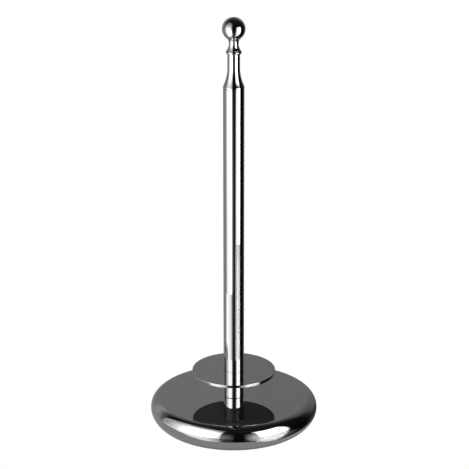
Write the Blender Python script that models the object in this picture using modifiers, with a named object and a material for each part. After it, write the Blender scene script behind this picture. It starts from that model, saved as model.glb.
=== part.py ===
"""Paper towel holder: a weighted round base, a raised turning disc, a tube post and a ball finial.

One long tie rod runs up the middle.  A nut under the base pulls it down, the finial screws onto
its top end, and everything between them is clamped, except the disc, which turns on a sleeve.
All sizes are in metres, +Z is up, and the origin is on the floor under the middle of the post.
"""
import math

import bmesh
import bpy

# ---------------------------------------------------------------- driving dimensions

CLEARANCE = 0.0003            # gap left between any two pieces that touch
RUNNING_CLEARANCE = 0.0002    # radial gap of a piece that turns

# base
BASE_RADIUS = 0.0780          # widest radius of the shell
BASE_HEIGHT = 0.0270          # floor to the flat top of the shell
TOP_ROUND_WIDTH = 0.0103      # upper edge round, measured inwards
TOP_ROUND_DROP = 0.0109       # upper edge round, measured down
MOUTH_INSET = 0.0190          # the underside opening is this much smaller than the widest radius
LIP_RISE = 0.0006             # lowest edge of the shell above the floor
SHELL_WALL = 0.0010
FOOT_HEIGHT = 0.0023
FOOT_RADIUS = 0.0060
FOOT_TAPER = 0.0007
FOOT_COUNT = 4
FOOT_INSET = 0.0025           # from the edge of the bottom plate to a foot
PLATE_THICKNESS = 0.0012
PLATE_MARGIN = 0.0005         # gap round the plate in the mouth of the shell
WEIGHT_MARGIN = 0.0015        # gap round the weight as it passes the mouth of the shell
WEIGHT_CHAMFER = 0.0020
POCKET_RADIUS = 0.0150        # pocket under the weight for the nut
POCKET_ROOF = 0.0105          # height of the pocket's roof above the floor

# fasteners
ROD_RADIUS = 0.0030
ROD_CHAMFER = 0.0005
ROD_LIFT = 0.0012             # lower end of the rod above the floor
THREAD_ENGAGED = 0.0120       # length of rod that the finial screws onto
WASHER_RADIUS = 0.0090
WASHER_THICKNESS = 0.0016
LOCK_WASHER_RADIUS = 0.0057
LOCK_WASHER_THICKNESS = 0.0015
LOCK_WASHER_SLIT = 0.0008
LOCK_WASHER_SLANT = 35.0      # degrees from upright
NUT_ACROSS_FLATS = 0.0100
NUT_HEIGHT = 0.0050
SCREW_COUNT = 3
SCREW_HEAD_RADIUS = 0.0028
SCREW_HEAD_HEIGHT = 0.0015
SCREW_RADIUS = 0.0014
SCREW_LENGTH = 0.0080
SCREW_RECESS_WIDTH = 0.0007
SCREW_RECESS_DEPTH = 0.0008
SCREW_RECESS_SPAN = 0.0030

# post and disc
TUBE_RADIUS = 0.009525        # three-quarter inch tube
TUBE_WALL = 0.0010
TUBE_EDGE = 0.0002            # broken edge at each end of a tube
DISC_RADIUS = 0.0387
DISC_THICKNESS = 0.00275
DISC_EDGE_ROUND = 0.0004
DISC_TOP = 0.0534             # floor to the top of the disc
DISC_RECESS = 0.0005          # shallow seat in the disc that hides the end of the tube
POST_TOP = 0.3237             # floor to the joint between the tube and the finial
SLEEVE_WALL = 0.0022
THRUST_WASHER_THICKNESS = 0.0010
BUSH_LENGTH = 0.0080
BUSH_CHAMFER = 0.0006

# finial
FINIAL_WALL = 0.0023          # metal round the threaded socket
FINIAL_LIP = 0.00008          # how far the finial's edge stands proud of the tube
FINIAL_LAND = 0.0009          # straight band at the foot of the finial
SPIGOT_LENGTH = 0.0070        # part of the finial that plugs into the tube
SOCKET_SPARE = 0.0020         # empty thread above the rod
FLARE_HEIGHT = 0.0170
BEAD_HEIGHT = 0.0319          # joint to the middle of the bead
BEAD_PROUD = 0.0015           # bead beyond the stem under it
BEAD_HALF_THICKNESS = 0.0017
WAIST_HEIGHT = 0.0393         # joint to the narrowest place of the neck
WAIST_RADIUS = 0.0043
WAIST_CURVE = 55.6            # how fast the neck opens out, in 1/m
BALL_RADIUS = 0.01035
BALL_HEIGHT = 0.0526          # joint to the middle of the ball
BALL_BLEND = 0.0004           # softness of the fillet between neck and ball
FINIAL_WASHER_THICKNESS = 0.0012

# fineness of the round pieces
FINE = 48
MEDIUM = 32
COARSE = 24

# ---------------------------------------------------------------- places that follow from the sizes

MOUTH_RADIUS = BASE_RADIUS - MOUTH_INSET
PLATE_RADIUS = MOUTH_RADIUS - PLATE_MARGIN
WEIGHT_RADIUS = MOUTH_RADIUS - WEIGHT_MARGIN
PLATE_SEAT = FOOT_HEIGHT + CLEARANCE
WEIGHT_SEAT = PLATE_SEAT + PLATE_THICKNESS + CLEARANCE
WEIGHT_TOP = BASE_HEIGHT - SHELL_WALL - CLEARANCE
FOOT_CIRCLE = PLATE_RADIUS - FOOT_INSET - FOOT_RADIUS
SCREW_CIRCLE = (POCKET_RADIUS + FOOT_CIRCLE) / 2

ROD_BORE = ROD_RADIUS + CLEARANCE
WASHER_SEAT = POCKET_ROOF - CLEARANCE - WASHER_THICKNESS
LOCK_WASHER_SEAT = WASHER_SEAT - CLEARANCE - LOCK_WASHER_THICKNESS
NUT_SEAT = LOCK_WASHER_SEAT - CLEARANCE - NUT_HEIGHT

TUBE_BORE = TUBE_RADIUS - TUBE_WALL
INSERT_RADIUS = TUBE_BORE - CLEARANCE
SPACER_SEAT = BASE_HEIGHT + CLEARANCE
DISC_UNDERSIDE = DISC_TOP - DISC_THICKNESS
SPACER_TOP = DISC_UNDERSIDE - CLEARANCE
DISC_RECESS_RADIUS = TUBE_RADIUS + CLEARANCE
TUBE_SEAT = DISC_TOP - DISC_RECESS + CLEARANCE
TUBE_TOP = POST_TOP - CLEARANCE
SLEEVE_RADIUS = ROD_BORE + SLEEVE_WALL
DISC_BORE = SLEEVE_RADIUS + RUNNING_CLEARANCE
SLEEVE_SEAT = SPACER_TOP - THRUST_WASHER_THICKNESS
SLEEVE_TOP = TUBE_SEAT + THRUST_WASHER_THICKNESS
LOWER_WASHER_SEAT = SPACER_TOP - THRUST_WASHER_THICKNESS
SPACER_UPPER_BUSH_SEAT = SLEEVE_SEAT - CLEARANCE - BUSH_LENGTH
TUBE_LOWER_BUSH_SEAT = SLEEVE_TOP + CLEARANCE

SPIGOT_END = POST_TOP - SPIGOT_LENGTH
FINIAL_WASHER_SEAT = SPIGOT_END - CLEARANCE - FINIAL_WASHER_THICKNESS
TUBE_UPPER_BUSH_SEAT = FINIAL_WASHER_SEAT - CLEARANCE - BUSH_LENGTH
ROD_TOP = POST_TOP + THREAD_ENGAGED
SOCKET_DEPTH = SPIGOT_LENGTH + THREAD_ENGAGED + SOCKET_SPARE
STEM_RADIUS = ROD_BORE + FINIAL_WALL
FINIAL_EDGE_RADIUS = TUBE_RADIUS + FINIAL_LIP

# ---------------------------------------------------------------- tools


def clear_scene():
    for item in list(bpy.data.objects):
        bpy.data.objects.remove(item, do_unlink=True)


def new_collection(name):
    collection = bpy.data.collections.new(name)
    bpy.context.scene.collection.children.link(collection)
    return collection


def new_finish(name, colour, roughness, metallic):
    finish = bpy.data.materials.new(name)
    finish.use_nodes = True
    shader = finish.node_tree.nodes["Principled BSDF"]
    shader.inputs["Base Color"].default_value = (*colour, 1.0)
    shader.inputs["Roughness"].default_value = roughness
    shader.inputs["Metallic"].default_value = metallic
    return finish


def link_piece(name, mesh, finish, seat=0.0):
    piece = bpy.data.objects.new(name, mesh)
    piece.location.z = seat
    mesh.materials.append(finish)
    holder.objects.link(piece)
    return piece


def link_cutter(name, mesh):
    cutter = bpy.data.objects.new(name, mesh)
    cutter.hide_render = True
    cutter.display_type = "WIRE"
    cutters.objects.link(cutter)
    return cutter


def profile_mesh(name, outline, closed):
    """A thin wire of (radius, height) points in the XZ plane, ready for the Screw modifier."""
    mesh = bpy.data.meshes.new(name)
    points = [(radius, 0.0, height) for radius, height in outline]
    links = [(i, i + 1) for i in range(len(points) - 1)]
    if closed:
        links.append((len(points) - 1, 0))
    mesh.from_pydata(points, links, [])
    return mesh


def add_screw(piece, segments):
    lathe = piece.modifiers.new("turn", "SCREW")
    lathe.axis = "Z"
    lathe.angle = math.tau
    lathe.steps = segments
    lathe.render_steps = segments
    lathe.use_merge_vertices = True
    lathe.merge_threshold = 0.00001
    lathe.use_smooth_shade = True
    return piece


def turned(name, outline, finish, seat=0.0, segments=COARSE, closed=True):
    """A turned piece.  The outline runs down the outer side, then back up the bore."""
    piece = link_piece(name, profile_mesh(name, outline, closed), finish, seat)
    return add_screw(piece, segments)


def turned_cutter(name, outline, segments=COARSE):
    return add_screw(link_cutter(name, profile_mesh(name, outline, closed=False)), segments)


def box_cutter(name, size):
    mesh = bpy.data.meshes.new(name)
    shape = bmesh.new()
    bmesh.ops.create_cube(shape, size=1.0)
    bmesh.ops.scale(shape, vec=size, verts=shape.verts)
    shape.to_mesh(mesh)
    shape.free()
    return link_cutter(name, mesh)


def combine(piece, cutter, operation="DIFFERENCE"):
    change = piece.modifiers.new(cutter.name, "BOOLEAN")
    change.operation = operation
    change.solver = "EXACT"
    change.object = cutter


def arc(centre, radii, start, end, steps):
    """Points on an ellipse from one angle to another, in degrees from +X towards +Z."""
    points = []
    for i in range(steps + 1):
        angle = math.radians(start + (end - start) * i / steps)
        across = centre[0] + radii[0] * math.cos(angle)
        up = centre[1] + radii[1] * math.sin(angle)
        points.append((across, up))
    return points


def ring_outline(outer, bore, height, edge=0.0):
    """A plain ring, with its outer edges broken when an edge is given."""
    if edge == 0.0:
        return [(outer, height), (outer, 0.0), (bore, 0.0), (bore, height)]
    side = [(outer - edge, height), (outer, height - edge), (outer, edge), (outer - edge, 0.0)]
    return side + [(bore, 0.0), (bore, height)]


def rod_outline(radius, length, edge):
    """A solid round bar that starts and ends on its own axis."""
    upper = [(0.0, length), (radius - edge, length), (radius, length - edge)]
    lower = [(radius, edge), (radius - edge, 0.0), (0.0, 0.0)]
    return upper + lower


def place_round(item, index, count, circle, turn=0.0):
    """Puts an item at its place on a circle about the middle of the base."""
    angle = math.tau * index / count + math.radians(turn)
    item.location.x = circle * math.cos(angle)
    item.location.y = circle * math.sin(angle)


def axis_empty(name, height):
    empty = bpy.data.objects.new(name, None)
    empty.location.z = height
    holder.objects.link(empty)
    return empty


def hang_on(piece, empty):
    """Parents a piece to an empty and keeps the piece where it stands."""
    piece.parent = empty
    piece.location.z -= empty.location.z


# ---------------------------------------------------------------- base


def make_base_shell():
    """The plated shell: an open turned surface that Solidify thickens inwards."""
    side_height = BASE_HEIGHT - TOP_ROUND_DROP
    top_centre = (BASE_RADIUS - TOP_ROUND_WIDTH, side_height)
    low_centre = (MOUTH_RADIUS, side_height)
    outline = [(ROD_BORE, BASE_HEIGHT)]
    outline += arc(top_centre, (TOP_ROUND_WIDTH, TOP_ROUND_DROP), 90, 0, 5)
    outline += arc(low_centre, (MOUTH_INSET, side_height - LIP_RISE), 0, -90, 6)[1:]
    shell = turned("base_shell", outline, chrome, segments=FINE, closed=False)
    wall = shell.modifiers.new("wall", "SOLIDIFY")
    wall.thickness = SHELL_WALL
    wall.offset = -1.0
    wall.use_even_offset = True
    wall.use_rim = True


def make_base_weight():
    """The cast weight, with a pocket for the nut and a blind hole for each plate screw."""
    height = WEIGHT_TOP - WEIGHT_SEAT
    roof = POCKET_ROOF - WEIGHT_SEAT
    outline = ring_outline(WEIGHT_RADIUS, POCKET_RADIUS, height, WEIGHT_CHAMFER)[:-1]
    outline += [(POCKET_RADIUS, roof), (ROD_BORE, roof), (ROD_BORE, height)]
    weight = turned("base_weight", outline, cast_iron, WEIGHT_SEAT, FINE)
    for i in range(SCREW_COUNT):
        hole = turned_cutter(f"weight_hole_{i + 1}", rod_outline(
            SCREW_RADIUS + CLEARANCE, 2 * SCREW_LENGTH, ROD_CHAMFER), segments=12)
        place_round(hole, i, SCREW_COUNT, SCREW_CIRCLE, turn=90)
        hole.location.z = PLATE_SEAT + CLEARANCE - SCREW_LENGTH
        combine(weight, hole)


def make_bottom_plate():
    """The flat steel cover, open in the middle so that the nut can be reached."""
    outline = ring_outline(PLATE_RADIUS, POCKET_RADIUS, PLATE_THICKNESS)
    plate = turned("bottom_plate", outline, zinc_steel, PLATE_SEAT, FINE)
    for i in range(SCREW_COUNT):
        hole = turned_cutter(f"plate_hole_{i + 1}", rod_outline(
            SCREW_RADIUS + CLEARANCE, 3 * PLATE_THICKNESS, ROD_CHAMFER), segments=12)
        place_round(hole, i, SCREW_COUNT, SCREW_CIRCLE, turn=90)
        hole.location.z = PLATE_SEAT - PLATE_THICKNESS
        combine(plate, hole)


def make_plate_screws():
    """Pan head screws with a crossed recess, driven up through the plate into the weight."""
    shoulder = SCREW_HEAD_HEIGHT
    end = shoulder + SCREW_LENGTH - CLEARANCE
    outline = [(0.0, end), (SCREW_RADIUS - ROD_CHAMFER, end), (SCREW_RADIUS, end - ROD_CHAMFER)]
    outline += [(SCREW_RADIUS, shoulder)]
    outline += arc((0.0, shoulder), (SCREW_HEAD_RADIUS, SCREW_HEAD_HEIGHT), 0, -90, 4)
    slot_sizes = [(SCREW_RECESS_SPAN, SCREW_RECESS_WIDTH), (SCREW_RECESS_WIDTH, SCREW_RECESS_SPAN)]
    seat = PLATE_SEAT - CLEARANCE - SCREW_HEAD_HEIGHT
    for i in range(SCREW_COUNT):
        name = f"plate_screw_{i + 1}"
        screw = turned(name, outline, zinc_steel, seat, segments=16, closed=False)
        place_round(screw, i, SCREW_COUNT, SCREW_CIRCLE, turn=90)
        for number, (wide, deep) in enumerate(slot_sizes):
            slot = box_cutter(f"{name}_slot_{number + 1}", (wide, deep, 2 * SCREW_RECESS_DEPTH))
            place_round(slot, i, SCREW_COUNT, SCREW_CIRCLE, turn=90)
            slot.location.z = seat
            combine(screw, slot)


def make_feet():
    """Stick-on rubber feet, a little narrower at the floor."""
    outline = [(FOOT_RADIUS, FOOT_HEIGHT), (FOOT_RADIUS - FOOT_TAPER, 0.0), (0.0, 0.0)]
    outline.insert(0, (0.0, FOOT_HEIGHT))
    for i in range(FOOT_COUNT):
        foot = turned(f"foot_{i + 1}", outline, rubber, closed=False)
        place_round(foot, i, FOOT_COUNT, FOOT_CIRCLE, turn=45)


# ---------------------------------------------------------------- tie rod and its fasteners


def make_tie_rod():
    outline = rod_outline(ROD_RADIUS, ROD_TOP - ROD_LIFT, ROD_CHAMFER)
    turned("tie_rod", outline, zinc_steel, ROD_LIFT, closed=False)


def make_rod_washer():
    outline = ring_outline(WASHER_RADIUS, ROD_BORE, WASHER_THICKNESS)
    turned("rod_washer", outline, zinc_steel, WASHER_SEAT)


def make_lock_washer():
    """A split ring: the slit is cut on a slant."""
    outline = ring_outline(LOCK_WASHER_RADIUS, ROD_BORE, LOCK_WASHER_THICKNESS)
    ring = turned("lock_washer", outline, zinc_steel, LOCK_WASHER_SEAT)
    size = (LOCK_WASHER_RADIUS, LOCK_WASHER_SLIT, 4 * LOCK_WASHER_THICKNESS)
    slit = box_cutter("lock_washer_slit", size)
    slit.location.x = LOCK_WASHER_RADIUS
    slit.location.z = LOCK_WASHER_SEAT + LOCK_WASHER_THICKNESS / 2
    slit.rotation_euler.x = math.radians(LOCK_WASHER_SLANT)
    combine(ring, slit)


def make_rod_nut():
    """A hexagon prism with turned corners and a bore for the rod."""
    mesh = bpy.data.meshes.new("rod_nut")
    corner = NUT_ACROSS_FLATS / 2 / math.cos(math.pi / 6)
    half = NUT_ACROSS_FLATS / 2
    shape = bmesh.new()
    bmesh.ops.create_cone(shape, cap_ends=True, segments=6, radius1=corner, radius2=corner,
                          depth=NUT_HEIGHT)
    shape.to_mesh(mesh)
    shape.free()
    nut = link_piece("rod_nut", mesh, zinc_steel, NUT_SEAT + NUT_HEIGHT / 2)
    over = NUT_HEIGHT / 10
    drop = (corner - half) / math.sqrt(3) + over
    top = NUT_HEIGHT + over
    barrel = [(0.0, top), (half - over, top), (corner + over, top - drop - over)]
    barrel += [(corner + over, drop), (half - over, -over), (0.0, -over)]
    form = turned_cutter("rod_nut_form", barrel)
    form.location.z = NUT_SEAT
    combine(nut, form, "INTERSECT")
    bore = turned_cutter("rod_nut_bore", rod_outline(ROD_BORE, 2 * NUT_HEIGHT, ROD_CHAMFER))
    bore.location.z = NUT_SEAT - NUT_HEIGHT / 2
    combine(nut, bore)


# ---------------------------------------------------------------- post and disc


def make_tubes():
    """The short spacer under the disc and the long post above it, cut from one size of tube."""
    for name, seat, top in [("spacer_tube", SPACER_SEAT, SPACER_TOP),
                            ("main_tube", TUBE_SEAT, TUBE_TOP)]:
        outline = ring_outline(TUBE_RADIUS, TUBE_BORE, top - seat, TUBE_EDGE)
        turned(name, outline, chrome, seat, MEDIUM)


def make_bushes():
    """Turned inserts, pressed into the tubes, that centre them on the rod."""
    outline = ring_outline(INSERT_RADIUS, ROD_BORE, BUSH_LENGTH, BUSH_CHAMFER)
    seats = {"spacer_lower_bush": SPACER_SEAT,
             "spacer_upper_bush": SPACER_UPPER_BUSH_SEAT,
             "tube_lower_bush": TUBE_LOWER_BUSH_SEAT,
             "tube_upper_bush": TUBE_UPPER_BUSH_SEAT}
    for name, seat in seats.items():
        turned(name, outline, zinc_steel, seat)


def make_disc_bearing():
    """The steel sleeve that the disc turns on, and the slip washer at each of its faces."""
    sleeve = ring_outline(SLEEVE_RADIUS, ROD_BORE, SLEEVE_TOP - SLEEVE_SEAT)
    turned("disc_sleeve", sleeve, zinc_steel, SLEEVE_SEAT, MEDIUM)
    washer = ring_outline(INSERT_RADIUS, SLEEVE_RADIUS + CLEARANCE, THRUST_WASHER_THICKNESS)
    turned("lower_thrust_washer", washer, nylon, LOWER_WASHER_SEAT, MEDIUM)
    turned("upper_thrust_washer", washer, nylon, TUBE_SEAT, MEDIUM)


def make_roll_disc():
    """The polished disc that the roll stands on; its origin is on the axis it turns about."""
    edge = (DISC_EDGE_ROUND, DISC_EDGE_ROUND)
    inner = DISC_RADIUS - DISC_EDGE_ROUND
    outline = arc((inner, DISC_THICKNESS - DISC_EDGE_ROUND), edge, 90, 0, 3)
    outline += arc((inner, DISC_EDGE_ROUND), edge, 0, -90, 3)
    floor = DISC_THICKNESS - DISC_RECESS
    outline += [(DISC_BORE, 0.0), (DISC_BORE, floor), (DISC_RECESS_RADIUS, floor)]
    outline += [(DISC_RECESS_RADIUS, DISC_THICKNESS)]
    disc = turned("roll_disc", outline, chrome, DISC_UNDERSIDE, FINE)
    hang_on(disc, axis_empty("disc_turn_axis", DISC_TOP))


# ---------------------------------------------------------------- finial


def flare_radius(height):
    """The concave collar: a parabola from the edge of the tube up to the straight stem."""
    part = min(1.0, (height - FINIAL_LAND) / FLARE_HEIGHT)
    return STEM_RADIUS + (FINIAL_EDGE_RADIUS - STEM_RADIUS) * (1.0 - part) ** 2


def neck_radius(height):
    """The hollow neck, opening out as a parabola above and below its waist."""
    return WAIST_RADIUS + WAIST_CURVE * (height - WAIST_HEIGHT) ** 2


def ball_radius(height):
    return math.sqrt(max(0.0, BALL_RADIUS ** 2 - (height - BALL_HEIGHT) ** 2))


def blended_radius(height):
    """Neck below and ball above, with a small fillet where they meet."""
    neck = neck_radius(min(height, BALL_HEIGHT - BALL_RADIUS + FINIAL_WALL))
    ball = ball_radius(height)
    widest = max(neck, ball)
    fillet = math.exp((neck - widest) / BALL_BLEND) + math.exp((ball - widest) / BALL_BLEND)
    return widest + BALL_BLEND * math.log(fillet)


def steps_between(low, high, count):
    return [low + (high - low) * i / count for i in range(count + 1)]


def finial_outline():
    """From the top of the ball down the outside, then up the threaded socket to the axis."""
    ball_top = BALL_HEIGHT + BALL_RADIUS
    ball_under = BALL_HEIGHT - BALL_RADIUS * math.cos(math.radians(40))
    bead_top = BEAD_HEIGHT + BEAD_HALF_THICKNESS
    bead_foot = BEAD_HEIGHT - BEAD_HALF_THICKNESS
    outline = [(0.0, ball_top)]
    outline += arc((0.0, BALL_HEIGHT), (BALL_RADIUS, BALL_RADIUS), 80, -45, 9)
    outline += [(blended_radius(h), h) for h in reversed(steps_between(bead_top, ball_under, 7))]
    bead_reach = STEM_RADIUS + BEAD_PROUD - BEAD_HALF_THICKNESS
    bead_size = (BEAD_HALF_THICKNESS, BEAD_HALF_THICKNESS)
    outline += arc((bead_reach, BEAD_HEIGHT), bead_size, 60, -60, 4)
    outline += [(STEM_RADIUS, bead_foot)]
    flare_top = FINIAL_LAND + FLARE_HEIGHT
    outline += [(flare_radius(h), h) for h in reversed(steps_between(FINIAL_LAND, flare_top, 6))]
    outline += [(FINIAL_EDGE_RADIUS, 0.0), (INSERT_RADIUS, 0.0)]
    outline += [(INSERT_RADIUS, -SPIGOT_LENGTH), (ROD_BORE, -SPIGOT_LENGTH)]
    outline += [(ROD_BORE, SOCKET_DEPTH - SPIGOT_LENGTH), (0.0, SOCKET_DEPTH - SPIGOT_LENGTH)]
    return outline


def make_finial():
    """The turned finial, one piece with its spigot; it turns and rises about the rod."""
    finial = turned("finial", finial_outline(), chrome, POST_TOP, MEDIUM, closed=False)
    hang_on(finial, axis_empty("finial_screw_axis", POST_TOP))
    washer = ring_outline(INSERT_RADIUS, ROD_BORE, FINIAL_WASHER_THICKNESS)
    turned("finial_washer", washer, nylon, FINIAL_WASHER_SEAT)


# ---------------------------------------------------------------- build

clear_scene()
holder = new_collection("paper_towel_holder")
cutters = new_collection("cutters")
chrome = new_finish("chrome", (0.80, 0.81, 0.82), 0.04, 1.0)
cast_iron = new_finish("cast_iron", (0.10, 0.10, 0.11), 0.75, 0.6)
zinc_steel = new_finish("zinc_steel", (0.62, 0.63, 0.65), 0.30, 1.0)
nylon = new_finish("nylon", (0.82, 0.81, 0.76), 0.45, 0.0)
rubber = new_finish("rubber", (0.03, 0.03, 0.03), 0.80, 0.0)

make_base_shell()
make_base_weight()
make_bottom_plate()
make_plate_screws()
make_feet()
make_tie_rod()
make_rod_washer()
make_lock_washer()
make_rod_nut()
make_tubes()
make_bushes()
make_disc_bearing()
make_roll_disc()
make_finial()
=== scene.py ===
# %% [markdown]
# # Chrome paper towel holder
# This lesson dresses a packed mechanical model.  The model is loaded as a fixed frame: its sizes and
# its moving bodies stay as they are.  The bright pieces, the rod and the feet are then modelled
# again with a finer surface, because a mirror shows each facet, and every finish is a small tree of
# shader nodes.

# %% Load the frame
import math

import bmesh
import bpy
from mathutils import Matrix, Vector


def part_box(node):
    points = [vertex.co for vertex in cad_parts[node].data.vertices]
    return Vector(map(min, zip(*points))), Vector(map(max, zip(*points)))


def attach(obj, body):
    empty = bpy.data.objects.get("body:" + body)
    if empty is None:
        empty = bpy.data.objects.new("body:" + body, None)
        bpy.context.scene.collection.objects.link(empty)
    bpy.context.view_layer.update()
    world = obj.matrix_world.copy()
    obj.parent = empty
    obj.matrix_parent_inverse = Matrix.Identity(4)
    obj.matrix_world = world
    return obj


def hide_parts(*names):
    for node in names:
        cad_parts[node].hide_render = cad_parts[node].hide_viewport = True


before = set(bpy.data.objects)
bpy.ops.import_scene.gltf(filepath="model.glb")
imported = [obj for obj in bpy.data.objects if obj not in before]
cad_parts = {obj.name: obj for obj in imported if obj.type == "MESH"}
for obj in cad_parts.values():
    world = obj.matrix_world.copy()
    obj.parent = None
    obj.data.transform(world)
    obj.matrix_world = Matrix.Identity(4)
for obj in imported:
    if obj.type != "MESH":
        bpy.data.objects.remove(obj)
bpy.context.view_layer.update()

# %% [markdown]
# ## Sizes
# The frame says how wide and how high each piece is.  Only the curves between those places are
# chosen here: the rounds of the rim, the cove of the collar and the neck of the finial.

# %% Read the sizes from the frame
MM = 0.001
JOINT_GAP = 0.3 * MM


def radius_of(node):
    """The widest reach of a piece of the frame from the axis, along +X."""
    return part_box(node)[1].x


def bottom_of(node):
    """The height of the lowest point of a piece of the frame."""
    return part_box(node)[0].z


def top_of(node):
    """The height of the highest point of a piece of the frame."""
    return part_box(node)[1].z


BASE_RADIUS = radius_of("base_shell")
BASE_TOP = top_of("base_shell")
LIP_HEIGHT = bottom_of("base_shell")
TUBE_RADIUS = radius_of("main_tube")
DISC_RADIUS = radius_of("roll_disc")
JOINT_HEIGHT = top_of("main_tube") + JOINT_GAP
ROD_RADIUS = radius_of("tie_rod")
for label, value in [("base radius", BASE_RADIUS), ("tube radius", TUBE_RADIUS),
                     ("disc radius", DISC_RADIUS), ("joint height", JOINT_HEIGHT)]:
    print(f"{label}: {value / MM:.2f} mm")

# %% [markdown]
# ## Camera
# A long lens looks down at the holder from about 1.4 m away and 0.3 m above the finial.  From there
# the top of the base shows as a wide ellipse and the post hardly tapers.  A short lens close by
# would frame the same height, but the post would narrow towards its foot.

# %% Place the camera
CAMERA_PLACE = (0.0, -1.4301, 0.6779)
CAMERA_DIP = 18.984
CAMERA_TURN = -0.036
LENS = 127.48
SENSOR = 36.0
FRAME_SHIFT = (-0.0005, 0.0010)

camera_data = bpy.data.cameras.new("camera")
camera_data.lens = LENS
camera_data.sensor_width = SENSOR
camera_data.shift_x, camera_data.shift_y = FRAME_SHIFT
camera = bpy.data.objects.new("camera", camera_data)
camera.location = CAMERA_PLACE
camera.rotation_euler = (math.radians(90 - CAMERA_DIP), 0.0, math.radians(CAMERA_TURN))
bpy.context.collection.objects.link(camera)
bpy.context.scene.camera = camera
bpy.context.scene.view_settings.view_transform = "Standard"
print("camera at", tuple(round(v, 3) for v in camera.location), "lens", LENS)

# %% [markdown]
# ## Studio
# Polished chrome has almost no colour of its own: it shows the room.  So the room is built with
# care, as for real chrome: tall soft light walls to the left and right of the camera, a dark slot
# between them where the camera stands, a dark side to the right, and grey behind.  The walls are
# hidden from the camera and seen only in the chrome.  The floor is white to the camera.  In the
# chrome it is a grey mat round the base and a glossy table beyond.

# %% Helpers for shader trees


def new_node(tree, kind, **settings):
    """Adds a shader node, sets its attributes, and returns it."""
    node = tree.nodes.new(kind)
    for key, value in settings.items():
        setattr(node, key, value)
    return node


def empty_tree(block):
    """Turns nodes on for a material or world, and clears its tree."""
    block.use_nodes = True
    block.node_tree.nodes.clear()
    return block.node_tree


def maths(tree, operation, first, second=0.0):
    """One Math node: each input is a number or another node's output."""
    node = new_node(tree, "ShaderNodeMath", operation=operation)
    for socket, value in zip(node.inputs, (first, second)):
        if isinstance(value, (int, float)):
            socket.default_value = value
        else:
            tree.links.new(value, socket)
    return node.outputs[0]


def ramp(tree, value, low, high, stops):
    """A grey ramp over low..high.  Stops are (place, brightness) pairs in the value's own units."""
    span = new_node(tree, "ShaderNodeMapRange")
    span.inputs["From Min"].default_value = low
    span.inputs["From Max"].default_value = high
    tree.links.new(value, span.inputs["Value"])
    node = new_node(tree, "ShaderNodeValToRGB")
    node.color_ramp.interpolation = "EASE"
    elements = node.color_ramp.elements
    while len(elements) < len(stops):
        elements.new(0.5)
    for element, (place, _) in zip(elements, stops):
        element.position = (place - low) / (high - low)
    for element, (_, grey) in zip(elements, stops):
        element.color = (grey, grey, grey, 1.0)
    tree.links.new(span.outputs["Result"], node.inputs["Fac"])
    return node.outputs["Color"]


def compass(tree, vector):
    """Degrees round the post: 0 towards the camera's side, positive to the right of it."""
    parts = new_node(tree, "ShaderNodeSeparateXYZ")
    tree.links.new(vector, parts.inputs["Vector"])
    towards = maths(tree, "MULTIPLY", parts.outputs["Y"], -1.0)
    angle = maths(tree, "ARCTAN2", parts.outputs["X"], towards)
    return maths(tree, "MULTIPLY", angle, 180 / math.pi), parts.outputs["Z"]


def put_on(piece, material):
    """Gives a piece one material, in every slot that it has."""
    if not piece.material_slots:
        piece.data.materials.append(material)
    for place in piece.material_slots:
        place.material = material


def deselect():
    """Clears the selection, because an operator acts on all that is selected."""
    bpy.ops.object.select_all(action="DESELECT")


print("shader helpers:", [tool.__name__ for tool in (new_node, maths, ramp, compass)])

# %% [markdown]
# ## Light walls
# Each wall is an open cylinder round the holder, and a shader decides which part of it glows.  An
# area lamp would do for a first try, but its edge is hard all round.  Here one ramp sets the
# brightness round the post and another sets it up the wall, so every edge in the chrome can be
# crisp or soft.  "round" is in degrees, 0 towards the camera and positive to its right; "up" is in
# metres.  "lean" makes the upper edge of a wall fall away to one side.

# %% Light walls
WALL_STRENGTH = 3.6
CARD_STRENGTH = 0.40
FAINTEST_GLOW = 0.001
WALLS = {
    "left_light_wall": {
        "radius": 0.35, "height": 1.2, "strength": WALL_STRENGTH, "lean": (-53, 110),
        "round": [(-102, 0.0), (-100, 0.13), (-92, 0.16), (-84, 0.25), (-77, 0.36), (-66, 0.58),
                  (-54, 0.80), (-42, 1.0), (-33, 0.92), (-27, 0.75), (-21, 0.55), (-17, 0.40),
                  (-16, 0.0)],
        "up": [(0.0, 0.85), (0.06, 0.90), (0.14, 1.0), (0.36, 1.0), (0.44, 0.62), (0.50, 0.45),
               (0.58, 0.32), (0.70, 0.20), (0.85, 0.12), (1.0, 0.05), (1.19, 0.01)]},
    "right_light_wall": {
        "radius": 0.52, "height": 0.66, "strength": WALL_STRENGTH, "lean": None,
        "round": [(26, 0.0), (29, 0.30), (31, 0.45), (33, 0.62), (38, 1.0), (66, 1.0),
                  (69.5, 0.80), (72.5, 0.30), (75, 0.0)],
        "up": [(0.0, 0.8), (0.04, 1.0), (0.50, 1.0), (0.56, 0.30), (0.61, 0.03), (0.65, 0.0)]},
    "right_low_spill": {
        "radius": 0.515, "height": 0.40, "strength": WALL_STRENGTH, "lean": None,
        "round": [(12, 0.0), (14, 0.02), (16, 0.05), (20.5, 0.12), (26, 0.22), (29, 0.32),
                  (29.5, 0.0)],
        "up": [(0.0, 1.0), (0.06, 0.95), (0.12, 0.85), (0.20, 0.60), (0.30, 0.35), (0.39, 0.10)]},
    "front_grey_card": {
        "radius": 0.36, "height": 0.40, "strength": CARD_STRENGTH, "lean": None,
        "round": [(-18, 0.0), (-17, 1.0), (-8, 0.50), (-2, 0.25), (1, 0.0)],
        "up": [(0.0, 1.0), (0.10, 0.8), (0.25, 0.25), (0.38, 0.0)]},
}


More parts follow.
